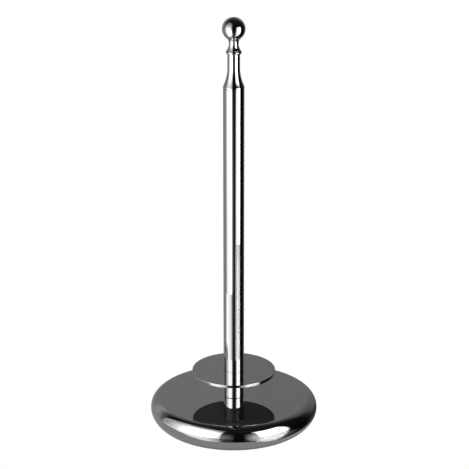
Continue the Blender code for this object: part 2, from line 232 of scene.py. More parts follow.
def light_wall(name, size):
    """A tall curved sheet round the holder that glows more or less along its turn and height."""
    deselect()
    bpy.ops.mesh.primitive_cylinder_add(vertices=180, radius=size["radius"], depth=size["height"],
                                        end_fill_type="NOTHING",
                                        location=(0, 0, size["height"] / 2))
    wall = bpy.context.object
    wall.name = name
    bpy.ops.object.transform_apply(location=True)
    material = bpy.data.materials.new(name)
    tree = empty_tree(material)
    place = new_node(tree, "ShaderNodeTexCoord")
    angle, height = compass(tree, place.outputs["Object"])
    along = ramp(tree, angle, -180, 180, size["round"])
    if size["lean"]:
        middle, doubling = size["lean"]
        turned = maths(tree, "DIVIDE", maths(tree, "SUBTRACT", angle, middle), doubling)
        height = maths(tree, "MULTIPLY", height, maths(tree, "POWER", 2.0, turned))
    upward = ramp(tree, height, 0.0, size["height"], size["up"])
    glow = new_node(tree, "ShaderNodeEmission")
    brightness = maths(tree, "MULTIPLY", along, upward)
    tree.links.new(maths(tree, "MULTIPLY", brightness, size["strength"]), glow.inputs["Strength"])
    clear = new_node(tree, "ShaderNodeBsdfTransparent")
    lit = maths(tree, "GREATER_THAN", brightness, FAINTEST_GLOW)
    blend = new_node(tree, "ShaderNodeMixShader")
    tree.links.new(lit, blend.inputs[0])
    tree.links.new(clear.outputs[0], blend.inputs[1])
    tree.links.new(glow.outputs[0], blend.inputs[2])
    output = new_node(tree, "ShaderNodeOutputMaterial")
    tree.links.new(blend.outputs[0], output.inputs["Surface"])
    put_on(wall, material)
    wall.visible_camera = False
    wall.visible_shadow = False
    print(name, "stands", size["radius"], "m away and is", size["height"], "m high")


for name, size in WALLS.items():
    light_wall(name, size)

# %% [markdown]
# ## Floor
# The floor stays white to the camera.  What the chrome sees of it is a grey mat, darker close to
# the base where the holder shades it, and a glossy table past the edge of the mat.  Two real
# sheets would do the same, but they would show in the picture, so one sheet answers the two
# kinds of ray in two ways.  The distances are in metres from the post and the angles in degrees.

# %% Floor
MAT_GREY = 0.35
MAT_REACH = [(-180, 0.100), (-130, 0.120), (-100, 0.185), (-72, 0.185), (-58, 0.135), (-39, 0.105),
             (-24, 0.098), (0, 0.100), (14, 0.098), (22, 0.093), (28, 0.086), (40, 0.084),
             (90, 0.084), (110, 0.086), (130, 0.095), (180, 0.100)]
MAT_LIMIT = 0.2
SHADE_RADIUS = 0.068
SHADE_GREY = 0.22
SHADE_SOFTNESS = 1.13
TABLE_TINT = 0.34
TABLE_ROUGHNESS = 0.15
TABLE_GLOW = [(-180, 0.20), (-150, 0.22), (-128, 0.25), (-98, 0.28), (-94, 0.35), (-86, 1.25),
              (-72, 1.30), (-58, 0.95), (-45, 0.50), (-30, 0.20), (-16, 0.0), (12, 0.0), (18, 0.30),
              (22, 0.40), (34, 0.45), (43, 0.30), (52, 0.15), (60, 0.05), (66, 0.0), (115, 0.0),
              (130, 0.05), (150, 0.10), (180, 0.20)]
GLOW_RISE = 0.025
FLOOR_DROP = 0.0002
FLOOR_RADIUS = 4.0


def make_floor():
    """White to the camera, a grey mat and a glossy table in every reflection."""
    deselect()
    bpy.ops.mesh.primitive_circle_add(vertices=96, radius=FLOOR_RADIUS, fill_type="NGON",
                                      location=(0.0, 0.0, -FLOOR_DROP))
    floor = bpy.context.object
    floor.name = "floor"
    material = bpy.data.materials.new("pale_floor")
    tree = empty_tree(material)
    place = new_node(tree, "ShaderNodeTexCoord")
    length = new_node(tree, "ShaderNodeVectorMath", operation="LENGTH")
    tree.links.new(place.outputs["Object"], length.inputs[0])
    far = length.outputs["Value"]
    angle, _ = compass(tree, place.outputs["Object"])
    edge = ramp(tree, angle, -180, 180, MAT_REACH)
    beyond = maths(tree, "GREATER_THAN", far, edge)
    mat = new_node(tree, "ShaderNodeEmission")
    shade = ramp(tree, far, 0.0, MAT_LIMIT,
                 [(SHADE_RADIUS, SHADE_GREY), (SHADE_SOFTNESS * SHADE_RADIUS, MAT_GREY)])
    tree.links.new(shade, mat.inputs["Strength"])
    gloss = new_node(tree, "ShaderNodeBsdfGlossy")
    gloss.inputs["Color"].default_value = (TABLE_TINT, TABLE_TINT, TABLE_TINT, 1.0)
    gloss.inputs["Roughness"].default_value = TABLE_ROUGHNESS
    glow = new_node(tree, "ShaderNodeEmission")
    past = maths(tree, "DIVIDE", maths(tree, "SUBTRACT", far, edge), GLOW_RISE)
    reach = maths(tree, "MINIMUM", maths(tree, "MAXIMUM", past, 0.0), 1.0)
    around = ramp(tree, angle, -180, 180, TABLE_GLOW)
    tree.links.new(maths(tree, "MULTIPLY", around, reach), glow.inputs["Strength"])
    table = new_node(tree, "ShaderNodeAddShader")
    tree.links.new(gloss.outputs[0], table.inputs[0])
    tree.links.new(glow.outputs[0], table.inputs[1])
    hidden = new_node(tree, "ShaderNodeMixShader")
    tree.links.new(beyond, hidden.inputs[0])
    tree.links.new(mat.outputs[0], hidden.inputs[1])
    tree.links.new(table.outputs[0], hidden.inputs[2])
    white = new_node(tree, "ShaderNodeEmission")
    ray = new_node(tree, "ShaderNodeLightPath")
    seen = new_node(tree, "ShaderNodeMixShader")
    tree.links.new(ray.outputs["Is Camera Ray"], seen.inputs[0])
    tree.links.new(hidden.outputs[0], seen.inputs[1])
    tree.links.new(white.outputs[0], seen.inputs[2])
    clear = new_node(tree, "ShaderNodeBsdfTransparent")
    side = new_node(tree, "ShaderNodeNewGeometry")
    one_sided = new_node(tree, "ShaderNodeMixShader")
    tree.links.new(side.outputs["Backfacing"], one_sided.inputs[0])
    tree.links.new(seen.outputs[0], one_sided.inputs[1])
    tree.links.new(clear.outputs[0], one_sided.inputs[2])
    output = new_node(tree, "ShaderNodeOutputMaterial")
    tree.links.new(one_sided.outputs[0], output.inputs["Surface"])
    put_on(floor, material)


make_floor()
print("the mat reaches", MAT_REACH[0][1], "m behind the post, with the table beyond it")

# %% [markdown]
# ## Air
# The world behind and above the holder fills what the walls leave open.  It is white to the
# camera, for a clean ground, and in the chrome it is a grey glow behind the holder that fades
# upwards to a nearly dark ceiling.  A picture of a real room would also do, but ramps are easier
# to steer: one round the post in degrees, and one by height from -1 straight down to 1 straight up.

# %% Air
AIR_ROUND = [(-180, 0.80), (-150, 0.80), (-145, 0.88), (-140, 1.10), (-134, 1.28), (-128, 1.32),
             (-124, 1.12), (-119, 0.88), (-115, 0.66), (-112, 0.42), (-107, 0.36), (-102, 0.30),
             (-100, 0.02), (108, 0.0), (114, 0.04), (120, 0.09), (124, 0.15), (127, 0.22),
             (132, 0.35), (137, 0.46), (145, 0.53), (155, 0.58), (165, 0.68), (172, 0.74),
             (180, 0.74)]
AIR_UP = [(-1.0, 1.0), (0.60, 1.0), (0.66, 0.95), (0.70, 0.70), (0.76, 0.45), (0.84, 0.25),
          (0.93, 0.12)]
AIR_LEAN_START = 0.25
AIR_LEAN = 65
AIR_LEFT_DROP = 0.1
AIR_STRENGTH = 0.38
CEILING = [(-1.0, 0.006), (0.70, 0.008), (0.88, 0.016)]


def make_air():
    """The rest of the room: grey behind the holder, dark overhead and to the right."""
    world = bpy.data.worlds.new("studio_air")
    tree = empty_tree(world)
    place = new_node(tree, "ShaderNodeTexCoord")
    angle, height = compass(tree, place.outputs["Generated"])
    left = maths(tree, "LESS_THAN", angle, 0.0)
    above = maths(tree, "MAXIMUM", maths(tree, "SUBTRACT", height, AIR_LEAN_START), 0.0)
    lean = maths(tree, "MULTIPLY", maths(tree, "MULTIPLY", above, AIR_LEAN), left)
    along = ramp(tree, maths(tree, "ADD", angle, lean), -180, 180, AIR_ROUND)
    raised = maths(tree, "ADD", height, maths(tree, "MULTIPLY", left, AIR_LEFT_DROP))
    upward = ramp(tree, raised, -1.0, 1.0, AIR_UP)
    back = maths(tree, "MULTIPLY", maths(tree, "MULTIPLY", along, upward), AIR_STRENGTH)
    ceiling = ramp(tree, height, -1.0, 1.0, CEILING)
    room = new_node(tree, "ShaderNodeBackground")
    tree.links.new(maths(tree, "MAXIMUM", back, ceiling), room.inputs["Strength"])
    white = new_node(tree, "ShaderNodeBackground")
    ray = new_node(tree, "ShaderNodeLightPath")
    seen = new_node(tree, "ShaderNodeMixShader")
    tree.links.new(ray.outputs["Is Camera Ray"], seen.inputs[0])
    tree.links.new(room.outputs[0], seen.inputs[1])
    tree.links.new(white.outputs[0], seen.inputs[2])
    output = new_node(tree, "ShaderNodeOutputWorld")
    tree.links.new(seen.outputs[0], output.inputs["Surface"])
    bpy.context.scene.world = world


make_air()
print("the air glows at most", max(glow for _, glow in AIR_ROUND) * AIR_STRENGTH)

# %% [markdown]
# ## Finishes
# Chrome plate is a mirror over a polished body, so its detail is very small: a trace of ripple
# left by the buffing wheel, hairlines from wiping, and faint smudges where hands have been.  One
# node group makes those marks, and each metal takes them with its own strength.

# %% The marks of polishing and handling
SMUDGE_GRAIN = 260.0
RIPPLE_SCALE = 28.0
HAIRLINE_SCALE = 900.0
HAIRLINE_STRETCH = (1.0, 1.0, 0.03)
HAIRLINE_DEPTH = 0.05
SMUDGE_EDGES = (0.45, 0.75)
HAIRLINE_EDGES = (0.60, 0.72)
USUAL_SMUDGE = 45.0


def new_group(name, inputs, outputs):
    """A shader node group with named sockets, and its inner input and output nodes."""
    group = bpy.data.node_groups.new(name, "ShaderNodeTree")
    for label, kind, value in inputs:
        socket = group.interface.new_socket(name=label, in_out="INPUT", socket_type=kind)
        if value is not None:
            socket.default_value = value
    for label, kind in outputs:
        group.interface.new_socket(name=label, in_out="OUTPUT", socket_type=kind)
    return group, group.nodes.new("NodeGroupInput"), group.nodes.new("NodeGroupOutput")


def noise(tree, vector, scale, detail=2.0, stretch=(1.0, 1.0, 1.0)):
    """Noise at so many features a metre, stretched along the axes."""
    shape = new_node(tree, "ShaderNodeMapping")
    shape.inputs["Scale"].default_value = stretch
    tree.links.new(vector, shape.inputs["Vector"])
    node = new_node(tree, "ShaderNodeTexNoise")
    node.inputs["Detail"].default_value = detail
    if isinstance(scale, (int, float)):
        node.inputs["Scale"].default_value = scale
    else:
        tree.links.new(scale, node.inputs["Scale"])
    tree.links.new(shape.outputs["Vector"], node.inputs["Vector"])
    return node.outputs["Fac"]


def spread(tree, value, old_span, new_span=(0.0, 1.0)):
    """Maps one (low, high) span of a value onto another, held at both ends."""
    node = new_node(tree, "ShaderNodeMapRange")
    labels = ("From Min", "From Max", "To Min", "To Max")
    for label, number in zip(labels, (*old_span, *new_span)):
        node.inputs[label].default_value = number
    tree.links.new(value, node.inputs["Value"])
    return node.outputs["Result"]


def make_marks_group():
    """Smudge is a soft mask; Relief is the height of ripple and hairlines together."""
    group, source, target = new_group(
        "polish_marks",
        [("Vector", "NodeSocketVector", None), ("Smudge Scale", "NodeSocketFloat", USUAL_SMUDGE)],
        [("Smudge", "NodeSocketFloat"), ("Relief", "NodeSocketFloat")])
    vector = source.outputs["Vector"]
    cloud = noise(group, vector, source.outputs["Smudge Scale"], detail=4.0)
    fine = noise(group, vector, SMUDGE_GRAIN, detail=3.0)
    smudge = maths(group, "MULTIPLY", spread(group, cloud, SMUDGE_EDGES), fine)
    ripple = noise(group, vector, RIPPLE_SCALE, detail=1.0)
    across = noise(group, vector, HAIRLINE_SCALE, stretch=HAIRLINE_STRETCH)
    hairline = spread(group, across, HAIRLINE_EDGES)
    scratch = maths(group, "MULTIPLY", hairline, HAIRLINE_DEPTH)
    relief = maths(group, "SUBTRACT", ripple, scratch)
    group.links.new(smudge, target.inputs["Smudge"])
    group.links.new(relief, target.inputs["Relief"])
    return group


MARKS = make_marks_group()
print("node group:", MARKS.name, [s.name for s in MARKS.interface.items_tree])

# %% Helpers for finishes


def start_finish(name, metallic):
    """A new material with its Principled shader, its output and its object coordinates."""
    material = bpy.data.materials.new(name)
    tree = empty_tree(material)
    shader = new_node(tree, "ShaderNodeBsdfPrincipled")
    shader.inputs["Metallic"].default_value = metallic
    output = new_node(tree, "ShaderNodeOutputMaterial")
    tree.links.new(shader.outputs["BSDF"], output.inputs["Surface"])
    place = new_node(tree, "ShaderNodeTexCoord")
    return material, tree, shader, place.outputs["Object"]


def blend_colours(tree, mask, first, second):
    """A colour between two, by a mask.  Each colour is a tuple or another node's output."""
    node = new_node(tree, "ShaderNodeMix", data_type="RGBA")
    tree.links.new(mask, node.inputs["Factor"])
    for socket, colour in [(node.inputs[6], first), (node.inputs[7], second)]:
        if isinstance(colour, tuple):
            socket.default_value = (*colour, 1.0)
        else:
            tree.links.new(colour, socket)
    return node.outputs[2]


def add_bump(tree, shader, height, strength, depth):
    """Tilts the surface by a height pattern: depth in metres, strength from 0 to 1."""
    bump = new_node(tree, "ShaderNodeBump")
    bump.inputs["Strength"].default_value = strength
    bump.inputs["Distance"].default_value = depth
    tree.links.new(height, bump.inputs["Height"])
    tree.links.new(bump.outputs["Normal"], shader.inputs["Normal"])


def add_marks(tree, vector, smudge_scale):
    """Places the group of marks, and returns its smudge mask and its relief."""
    marks = new_node(tree, "ShaderNodeGroup", node_tree=MARKS)
    marks.inputs["Smudge Scale"].default_value = smudge_scale
    tree.links.new(vector, marks.inputs["Vector"])
    return marks.outputs["Smudge"], marks.outputs["Relief"]


print("helpers for finishes:", [tool.__name__ for tool in (start_finish, blend_colours)])

# %% [markdown]
# ## Chrome
# The plate is chromium over nickel over polished steel.  A metallic shader with a very low
# roughness is the whole of it, and the smudges only make it a little duller, never matt.  Each
# piece has its own size of smudge, because a hand leaves larger marks on the base than on the
# finial.  Below a given height the same material is a matt dark grey: painted shade for the
# underside of the disc, which keeps the reflection in the base under it plain and quiet.

# %% Chrome
WHOLE = (0.0, 1.0)
CHROME = (0.550, 0.556, 0.562)
CHROME_SMUDGED = (0.535, 0.540, 0.542)
CHROME_ROUGHNESS = (0.008, 0.022)
RIPPLE_STRENGTH = 0.003
# Painted shade: the dark grey of the shaded underside of the disc.
UNDERSIDE_PAINTED_SHADE = (0.10, 0.101, 0.104)
UNDERSIDE_ROUGHNESS = 0.5
RIPPLE_DEPTH = 0.4 * MM
UNDERSIDE_RISE = 0.2 * MM
DISC_LAND = bottom_of("roll_disc") + UNDERSIDE_RISE


def make_chrome(name, smudge_scale, painted_shade_below=None):
    """Bright chrome.  Below the given height it is a matt dark grey, painted shade for the
    underside.
    """
    material, tree, shader, vector = start_finish(name, 1.0)
    smudge, height = add_marks(tree, vector, smudge_scale)
    colour = blend_colours(tree, smudge, CHROME, CHROME_SMUDGED)
    roughness = spread(tree, smudge, WHOLE, CHROME_ROUGHNESS)
    if painted_shade_below is not None:
        # Below the given height: painted shade, a dark grey that is matt and not metallic.
        parts = new_node(tree, "ShaderNodeSeparateXYZ")
        tree.links.new(vector, parts.inputs["Vector"])
        under = maths(tree, "LESS_THAN", parts.outputs["Z"], painted_shade_below)
        colour = blend_colours(tree, under, colour, UNDERSIDE_PAINTED_SHADE)
        tree.links.new(maths(tree, "SUBTRACT", 1.0, under), shader.inputs["Metallic"])
        matt = maths(tree, "MULTIPLY", under, UNDERSIDE_ROUGHNESS)
        roughness = maths(tree, "ADD", roughness, matt)
    tree.links.new(colour, shader.inputs["Base Color"])
    tree.links.new(roughness, shader.inputs["Roughness"])
    add_bump(tree, shader, height, RIPPLE_STRENGTH, RIPPLE_DEPTH)
    return material


chrome_base = make_chrome("chrome_base", smudge_scale=30.0)
chrome_disc = make_chrome("chrome_disc", smudge_scale=40.0, painted_shade_below=DISC_LAND)
chrome_post = make_chrome("chrome_post", smudge_scale=60.0)
chrome_finial = make_chrome("chrome_finial", smudge_scale=90.0)
print("four chromes, the disc matt below", round(DISC_LAND / MM, 1), "mm")

# %% [markdown]
# ## Zinc plate
# The rod, the nut, the screws, the bushes and the plate underneath are steel with a thin bright
# zinc plate.  It is a metal too, but the bath leaves it soft, with a bloom between blue and
# straw, so two colours are blended by a broad noise and the roughness is far above the chrome's.

# %% Zinc plate
ZINC_BLUE = (0.50, 0.52, 0.56)
ZINC_STRAW = (0.60, 0.58, 0.50)
ZINC_ROUGHNESS = (0.24, 0.48)
ZINC_SMUDGE = 120.0
BLOOM_SCALE = 70.0
BLOOM_EDGES = (0.35, 0.65)


def make_zinc():
    """Bright zinc plate: silver with a faint straw and blue bloom, soft from the plating bath."""
    material, tree, shader, vector = start_finish("zinc_plate", 1.0)
    smudge, height = add_marks(tree, vector, ZINC_SMUDGE)
    bloom = spread(tree, noise(tree, vector, BLOOM_SCALE, detail=3.0), BLOOM_EDGES)
    colour = blend_colours(tree, bloom, ZINC_BLUE, ZINC_STRAW)
    tree.links.new(colour, shader.inputs["Base Color"])
    tree.links.new(spread(tree, smudge, WHOLE, ZINC_ROUGHNESS), shader.inputs["Roughness"])
    add_bump(tree, shader, height, strength=0.25, depth=0.2 * MM)
    return material


zinc_plate = make_zinc()
print("made", zinc_plate.name)

# %% [markdown]
# ## Cast iron
# The weight inside the base was poured in a sand mould and dipped in thin black paint.  Paint is
# not a metal, so the shader isn't metallic.  A fine noise gives the grain of the sand, and a
# second one bares small worn patches where the paint is thin.

# %% Cast iron
PAINT_BLACK = (0.022, 0.022, 0.024)
PAINT_WORN = (0.085, 0.080, 0.078)
PAINT_ROUGHNESS = (0.55, 0.85)
SAND_SCALE = 900.0
WORN_SCALE = 150.0
WORN_EDGES = (0.62, 0.70)
GRAIN_EDGES = (0.3, 0.7)


def make_iron():
    """Cast iron under a thin coat of black paint, with the grain of the sand mould."""
    material, tree, shader, vector = start_finish("painted_cast_iron", 0.0)
    grain = noise(tree, vector, SAND_SCALE, detail=5.0)
    worn = spread(tree, noise(tree, vector, WORN_SCALE, detail=6.0), WORN_EDGES)
    colour = blend_colours(tree, worn, PAINT_BLACK, PAINT_WORN)
    tree.links.new(colour, shader.inputs["Base Color"])
    tree.links.new(spread(tree, grain, GRAIN_EDGES, PAINT_ROUGHNESS), shader.inputs["Roughness"])
    add_bump(tree, shader, grain, strength=0.6, depth=0.3 * MM)
    return material


painted_iron = make_iron()
print("made", painted_iron.name)

# %% [markdown]
# ## Rubber
# The feet are black rubber from a mould that was blasted matt.  Rubber picks up dust, so a paler
# grey is blended in by patches; a plain black would look like plastic.

# %% Rubber
RUBBER_BLACK = (0.018, 0.018, 0.019)
RUBBER_DUSTY = (0.075, 0.072, 0.068)
RUBBER_ROUGHNESS = (0.62, 0.85)
RUBBER_SCALE = 2400.0
DUST_SCALE = 210.0
DUST_EDGES = (0.55, 0.80)


def make_rubber():
    """Black moulded rubber with a fine matt grain and a little dust."""
    material, tree, shader, vector = start_finish("black_rubber", 0.0)
    grain = noise(tree, vector, RUBBER_SCALE)
    dust = spread(tree, noise(tree, vector, DUST_SCALE, detail=5.0), DUST_EDGES)
    colour = blend_colours(tree, dust, RUBBER_BLACK, RUBBER_DUSTY)
    tree.links.new(colour, shader.inputs["Base Color"])
    tree.links.new(spread(tree, grain, GRAIN_EDGES, RUBBER_ROUGHNESS), shader.inputs["Roughness"])
    add_bump(tree, shader, grain, strength=0.35, depth=0.1 * MM)
    return material


black_rubber = make_rubber()
print("made", black_rubber.name)

# %% [markdown]
# ## Nylon
# The slip washers are cut from a bar of undyed nylon.  Light goes a little way into it, so the
# shader has some subsurface, and a noise stretched flat leaves the lines of the cutting tool.

# %% Nylon
NYLON_DARK = (0.78, 0.76, 0.69)
NYLON_LIGHT = (0.84, 0.83, 0.78)
NYLON_ROUGHNESS = (0.35, 0.50)
TONE_SCALE = 90.0
TOOL_LINE_SCALE = 1500.0
TOOL_LINE_STRETCH = (0.1, 0.1, 1.0)
LIGHT_INSIDE = 0.15


def make_nylon():
    """Natural nylon: milky, slightly waxy, with faint turning lines."""
    material, tree, shader, vector = start_finish("natural_nylon", 0.0)
    tone = noise(tree, vector, TONE_SCALE)
    colour = blend_colours(tree, tone, NYLON_DARK, NYLON_LIGHT)
    tree.links.new(colour, shader.inputs["Base Color"])
    lines = noise(tree, vector, TOOL_LINE_SCALE, stretch=TOOL_LINE_STRETCH)
    tree.links.new(spread(tree, lines, GRAIN_EDGES, NYLON_ROUGHNESS), shader.inputs["Roughness"])
    shader.inputs["Subsurface Weight"].default_value = LIGHT_INSIDE
    add_bump(tree, shader, lines, strength=0.2, depth=0.05 * MM)
    return material


natural_nylon = make_nylon()
print("made", natural_nylon.name, "and", len(bpy.data.materials), "materials in all")

# %% [markdown]
# ## Turning a piece
# All the bright pieces are round.  A lathe leaves a body whose every level is a circle, so each one
# is made the way one would by hand: start with a circle at the first level, extrude it, move the
# new ring to the next level and scale it to the next radius, over and over down the outside and
# back up the bore.  The Screw modifier or Spin would do too; extruding ring by ring keeps every
# ring exactly level and needs no merging at the seam.

# %% The turning tool
ROUND_COUNT = 256
EDGE_ANGLE = math.radians(30)
SAME = 1e-9
NEAR = 1e-6


def arc(centre, radii, start, end, steps):
    """Points along part of an ellipse, by angles in degrees from +X towards +Z."""
    points = []
    for i in range(steps + 1):
        angle = math.radians(start + (end - start) * i / steps)
        across = centre[0] + radii[0] * math.cos(angle)
        points.append((across, centre[1] + radii[1] * math.sin(angle)))
    return points


def between(low, high, count):
    """Evenly spaced numbers from low to high, both included."""
    return [low + (high - low) * i / count for i in range(count + 1)]


def turn(name, outline, vertices=ROUND_COUNT, closed=True, pole=False):
    """Extrudes a circle along (radius, height) points.  A closed outline joins up with its start.
    A pole closes the first ring to a point on the axis, and the last one too."""
    deselect()
    first_radius, height = outline[0]
    bpy.ops.mesh.primitive_circle_add(vertices=vertices, radius=first_radius,
                                      location=(0.0, 0.0, height))
    piece = bpy.context.object
    piece.name = name
    piece.data.name = name
    bpy.ops.object.transform_apply(location=True, rotation=True, scale=True)
    bpy.ops.object.mode_set(mode="EDIT")
    bpy.ops.mesh.select_all(action="SELECT")
    levels = outline[1:] + (outline[:1] if closed else [])
    radius = first_radius
    for new_radius, new_height in levels:
        bpy.ops.mesh.extrude_region_move(
            TRANSFORM_OT_translate={"value": (0.0, 0.0, new_height - height)})
        scale = new_radius / radius
        if abs(scale - 1.0) > SAME:
            bpy.ops.transform.resize(value=(scale, scale, 1.0),
                                     center_override=(0.0, 0.0, new_height))
        radius, height = new_radius, new_height
    if pole:
        bpy.ops.mesh.merge(type="CENTER")
        select_ring(piece, outline[0])
        bpy.ops.mesh.merge(type="CENTER")
    bpy.ops.mesh.select_all(action="SELECT")
    if closed:
        bpy.ops.mesh.remove_doubles(threshold=NEAR)
    bpy.ops.mesh.normals_make_consistent(inside=False)
    bpy.ops.object.mode_set(mode="OBJECT")
    bpy.ops.object.shade_smooth_by_angle(angle=EDGE_ANGLE)
    print(f"{name}: {len(piece.data.polygons)} faces")
    return piece


def select_ring(piece, level):
    """In edit mode, selects the vertices at one (radius, height) of a turned piece."""
    radius, height = level
    bpy.ops.mesh.select_all(action="DESELECT")
    shape = bmesh.from_edit_mesh(piece.data)
    for vertex in shape.verts:
        away = math.hypot(vertex.co.x, vertex.co.y)
        near = abs(away - radius) < NEAR and abs(vertex.co.z - height) < NEAR
        vertex.select_set(near)
    shape.select_flush_mode()
    bmesh.update_edit_mesh(piece.data)


def dress(piece, body, node, material):
    """Puts the finish on a new piece, hides the piece of the frame that it stands for, and hangs it
    on the body that it moves with.
    """
    put_on(piece, material)
    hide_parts(node)
    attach(piece, body)


print("a turned piece has", ROUND_COUNT, "vertices in each ring unless it says otherwise")


# %% [markdown]
# ## Base
# The base is a spun shell: a flat mirror top, a full rounded rim and an underside that draws in to
# a narrower mouth.  Inner and outer walls are drawn in one outline, with a small support ring
# beside each place where a flat meets a round, so that the flat stays a true mirror.  A Solidify
# modifier could give a single skin its thickness, but it would leave the lip square.

# %% Base shell
SHELL_WALL = 1.0 * MM
RIM_WIDTH = 10.3 * MM
RIM_DROP = 10.9 * MM
MOUTH_INSET = 19.0 * MM
ROD_CLEARANCE = 0.3 * MM
ROD_HOLE = ROD_RADIUS + ROD_CLEARANCE
CENTRE_LAND = 12.0 * MM
SUPPORT = 0.4 * MM


def base_outline():
    """The outer skin from the rod hole to the mouth, round the lip, and back up inside."""
    side = BASE_TOP - RIM_DROP
    flat_end = BASE_RADIUS - RIM_WIDTH
    mouth = BASE_RADIUS - MOUTH_INSET
    skirt = side - LIP_HEIGHT
    lip = SHELL_WALL / 2
    points = [(ROD_HOLE, BASE_TOP), (CENTRE_LAND, BASE_TOP), (flat_end - SUPPORT, BASE_TOP)]
    points += arc((flat_end, side), (RIM_WIDTH, RIM_DROP), 90, 0, 40)
    points += arc((mouth, side), (MOUTH_INSET, skirt), 0, -90, 48)[1:]
    points += arc((mouth, LIP_HEIGHT + lip), (lip, lip), -90, -270, 10)[1:]
    points += arc((mouth, side), (MOUTH_INSET - SHELL_WALL, skirt - SHELL_WALL), -90, 0, 24)[1:]
    points += arc((flat_end, side), (RIM_WIDTH - SHELL_WALL, RIM_DROP - SHELL_WALL), 0, 90, 20)[1:]
    points += [(ROD_HOLE, BASE_TOP - SHELL_WALL)]
    return points


base = turn("base_bowl", base_outline())
dress(base, "stand", "base_shell", chrome_base)

# %% [markdown]
# ## Disc
# A flat disc stamped from plate and buffed on top.  Its edge is a narrow mirror band with both
# corners just broken, and a shallow seat in the top hides the end of the tube.  A cylinder with a
# Bevel modifier would be quicker, but the seat and the bore come free with the same outline.

# %% Roll disc
DISC_EDGE = 0.4 * MM
SEAT_RADIUS = TUBE_RADIUS + 0.3 * MM
SEAT_DEPTH = 0.5 * MM
DISC_BORE = 5.7 * MM
BREAK = 0.1 * MM


def disc_outline():
    """From the seat out over the top, round the edge, and back under to the bore and the seat."""
    top, under = top_of("roll_disc"), bottom_of("roll_disc")
    inner = DISC_RADIUS - DISC_EDGE
    size = (DISC_EDGE, DISC_EDGE)
    points = [(SEAT_RADIUS, top - BREAK), (SEAT_RADIUS + BREAK, top)]
    points += [(SEAT_RADIUS + SUPPORT, top), (inner - SUPPORT, top)]
    points += arc((inner, top - DISC_EDGE), size, 90, 0, 8)
    points += [(DISC_RADIUS, top - DISC_EDGE - BREAK), (DISC_RADIUS, under + DISC_EDGE + BREAK)]
    points += arc((inner, under + DISC_EDGE), size, 0, -90, 8)
    points += [(inner - SUPPORT, under), (DISC_BORE, under), (DISC_BORE, top - SEAT_DEPTH)]
    points += [(SEAT_RADIUS, top - SEAT_DEPTH)]
    return points


disc = turn("disc_plate", disc_outline())
dress(disc, "turntable", "roll_disc", chrome_disc)

# %% [markdown]
# ## Tubes
# The post and the short spacer under the disc are cut from one drawn tube.  The saw leaves sharp
# ends, which are broken with a file before plating, so each end has a small round.  Both come from
# one outline with two heights.

# %% Post and spacer
TUBE_WALL = 1.0 * MM
TUBE_BORE = TUBE_RADIUS - TUBE_WALL
TUBE_BREAK = 0.2 * MM


def tube_outline(low, high):
    """A tube from one height to another, with both outer corners rounded."""
    corner = (TUBE_BREAK, TUBE_BREAK)
    outer = TUBE_RADIUS - TUBE_BREAK
    points = [(TUBE_BORE, high), (outer - BREAK, high)]
    points += arc((outer, high - TUBE_BREAK), corner, 90, 0, 6)
    points += [(TUBE_RADIUS, high - TUBE_BREAK - SUPPORT), (TUBE_RADIUS, low + TUBE_BREAK + SUPPORT)]
    points += arc((outer, low + TUBE_BREAK), corner, 0, -90, 6)
    points += [(outer - BREAK, low), (TUBE_BORE, low)]
    return points


for name, node in [("post_tube", "main_tube"), ("short_tube", "spacer_tube")]:
    tube = turn(name, tube_outline(bottom_of(node), top_of(node)))
    dress(tube, "stand", node, chrome_post)

# %% [markdown]
# ## Finial
# The finial is turned in one piece: a ball on a waisted neck, a thin bead, a straight stem and a
# collar that flares like a trumpet to the edge of the tube.  Each curve is a plain formula: the
# ball is a circle, the neck and the collar are parabolas, and a soft maximum makes the fillet
# where neck and ball meet.

# %% Finial curves
BALL_RADIUS = 10.35 * MM
BALL_CENTRE = top_of("finial") - BALL_RADIUS
STEM_RADIUS = 5.6 * MM
COLLAR_RADIUS = TUBE_RADIUS + 0.08 * MM
COLLAR_BAND = 0.9 * MM
FLARE_HEIGHT = 17.0 * MM
BEAD_CENTRE = JOINT_HEIGHT + 31.9 * MM
BEAD_SIZE = 1.7 * MM
BEAD_PROUD = 1.5 * MM
WAIST_RADIUS = 4.3 * MM
WAIST_HEIGHT = JOINT_HEIGHT + 39.3 * MM
WAIST_CURVE = 55.6
FILLET = 0.4 * MM
SPIGOT_RADIUS = TUBE_BORE - 0.3 * MM
SPIGOT_CHAMFER = 0.4 * MM
SOCKET_DEPTH = 21.0 * MM
SOCKET_POLE = 1.0 * MM
NECK_LIMIT = 2.3 * MM
BEAD_CLEAR = 0.15 * MM
BEAD_FILLET = 0.35 * MM
BEAD_FILLET_RISE = 0.3 * MM
COLLAR_EDGE = 0.15 * MM
STEM_START = 0.8 * MM


def collar_radius(height):
    """The trumpet between the band at the foot and the straight stem."""
    part = min(1.0, (height - JOINT_HEIGHT - COLLAR_BAND) / FLARE_HEIGHT)
    return STEM_RADIUS + (COLLAR_RADIUS - STEM_RADIUS) * (1.0 - part) ** 2


def neck_radius(height):
    """The waisted neck and the ball, with a soft maximum as the fillet between them.  The neck's
    own curve stops widening a little way inside the ball."""
    level = min(height, BALL_CENTRE - BALL_RADIUS + NECK_LIMIT)
    neck = WAIST_RADIUS + WAIST_CURVE * (level - WAIST_HEIGHT) ** 2
    ball = math.sqrt(max(0.0, BALL_RADIUS ** 2 - (height - BALL_CENTRE) ** 2))
    widest = max(neck, ball)
    fillet = math.exp((neck - widest) / FILLET) + math.exp((ball - widest) / FILLET)
    return widest + FILLET * math.log(fillet)


